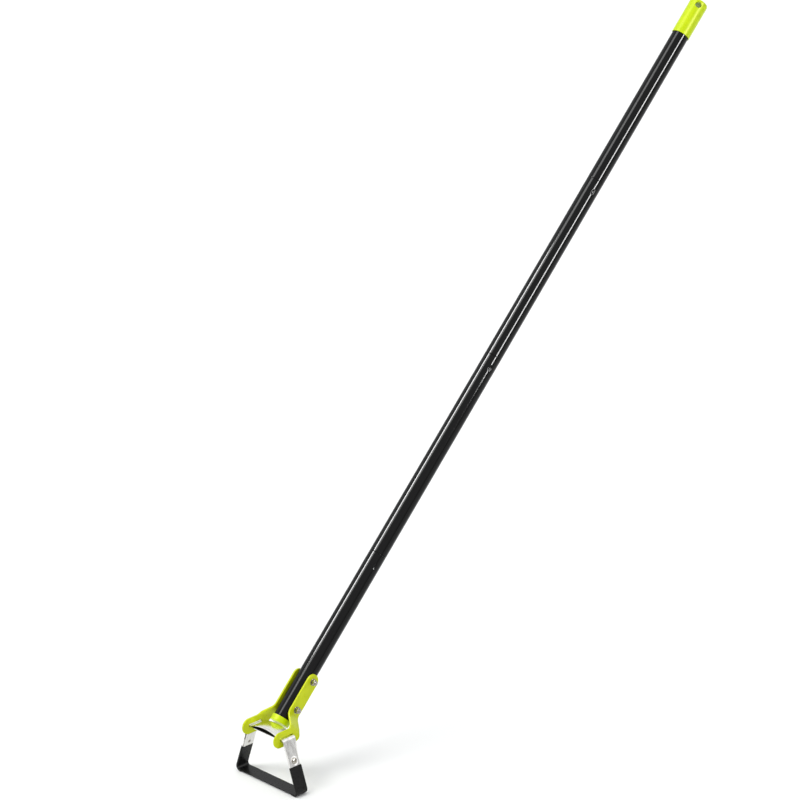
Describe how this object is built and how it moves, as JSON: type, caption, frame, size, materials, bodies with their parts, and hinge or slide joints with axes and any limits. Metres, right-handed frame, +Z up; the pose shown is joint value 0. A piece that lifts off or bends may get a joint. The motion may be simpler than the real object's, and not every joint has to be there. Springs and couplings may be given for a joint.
{
  "type": "stand up weeder",
  "caption": "Long-handled stirrup hoe: a looped blade that rocks in a two-plate bracket, on a screw-together steel pole with a hanging cap.",
  "frame": {"origin": "on the pole's axis in the middle of the bare part of the top section, where the hands hold the tool; the flat underside of the blade's bar is 830.9 mm behind it along -Y and 904.8 mm below it", "axes": "+X along the blade, to the side with the bracket's nuts; +Y to the person who holds the pole, which leans back over +Y at 45 degrees; +Z up"},
  "size_m": [0.1374, 1.0117, 1.0613],
  "materials": {
    "lime_paint": "glossy lime green powder coat",
    "lime_plastic": "moulded lime green plastic, semi-gloss",
    "pole_paint": "glossy black paint on steel tube",
    "blade_steel": "satin black coating on hardened steel",
    "polished_steel": "polished stainless steel",
    "zinc_steel": "bright zinc plate",
    "turned_steel": "turned steel"
  },
  "bodies": {
    "head": {"side_plate_left": "lime_paint", "side_plate_right": "lime_paint", "foot_collar": "lime_plastic", "pole_section_1": "pole_paint", "thread_socket_1": "turned_steel", "bracket_bolt_lower": "zinc_steel", "bracket_bolt_upper": "zinc_steel", "bracket_nut_lower": "zinc_steel", "bracket_nut_upper": "zinc_steel", "bracket_washer_lower_left": "zinc_steel", "bracket_washer_lower_right": "zinc_steel", "bracket_washer_upper_left": "zinc_steel", "bracket_washer_upper_right": "zinc_steel"},
    "section_2": {"thread_stud_1": "turned_steel", "pole_section_2": "pole_paint", "thread_socket_2": "turned_steel"},
    "section_3": {"thread_stud_2": "turned_steel", "pole_section_3": "pole_paint", "thread_socket_3": "turned_steel"},
    "section_4": {"thread_stud_3": "turned_steel", "pole_section_4": "pole_paint", "end_cap": "lime_plastic"},
    "stirrup": {"band_outer": "polished_steel", "band_inner": "polished_steel", "blade": "blade_steel", "blade_screw_left": "zinc_steel", "blade_screw_right": "zinc_steel"}
  },
  "joints": [
    {"name": "blade_swing", "type": "hinge", "parent": "head", "child": "stirrup", "pos_m": [0, -0.83094, -0.81844], "axis": [1, 0, 0], "range_deg": [-5, 5]},
    {"name": "unscrew_1", "type": "hinge", "parent": "section_2", "child": "head", "pos_m": [0, -0.59793, -0.59793], "axis": [0, -0.7071, -0.7071], "range_deg": [0, 360]},
    {"name": "unscrew_2", "type": "hinge", "parent": "section_3", "child": "section_2", "pos_m": [0, -0.33934, -0.33934], "axis": [0, -0.7071, -0.7071], "range_deg": [0, 360]},
    {"name": "unscrew_3", "type": "hinge", "parent": "section_4", "child": "section_3", "pos_m": [0, -0.1026, -0.1026], "axis": [0, -0.7071, -0.7071], "range_deg": [0, 360]}
  ]
}
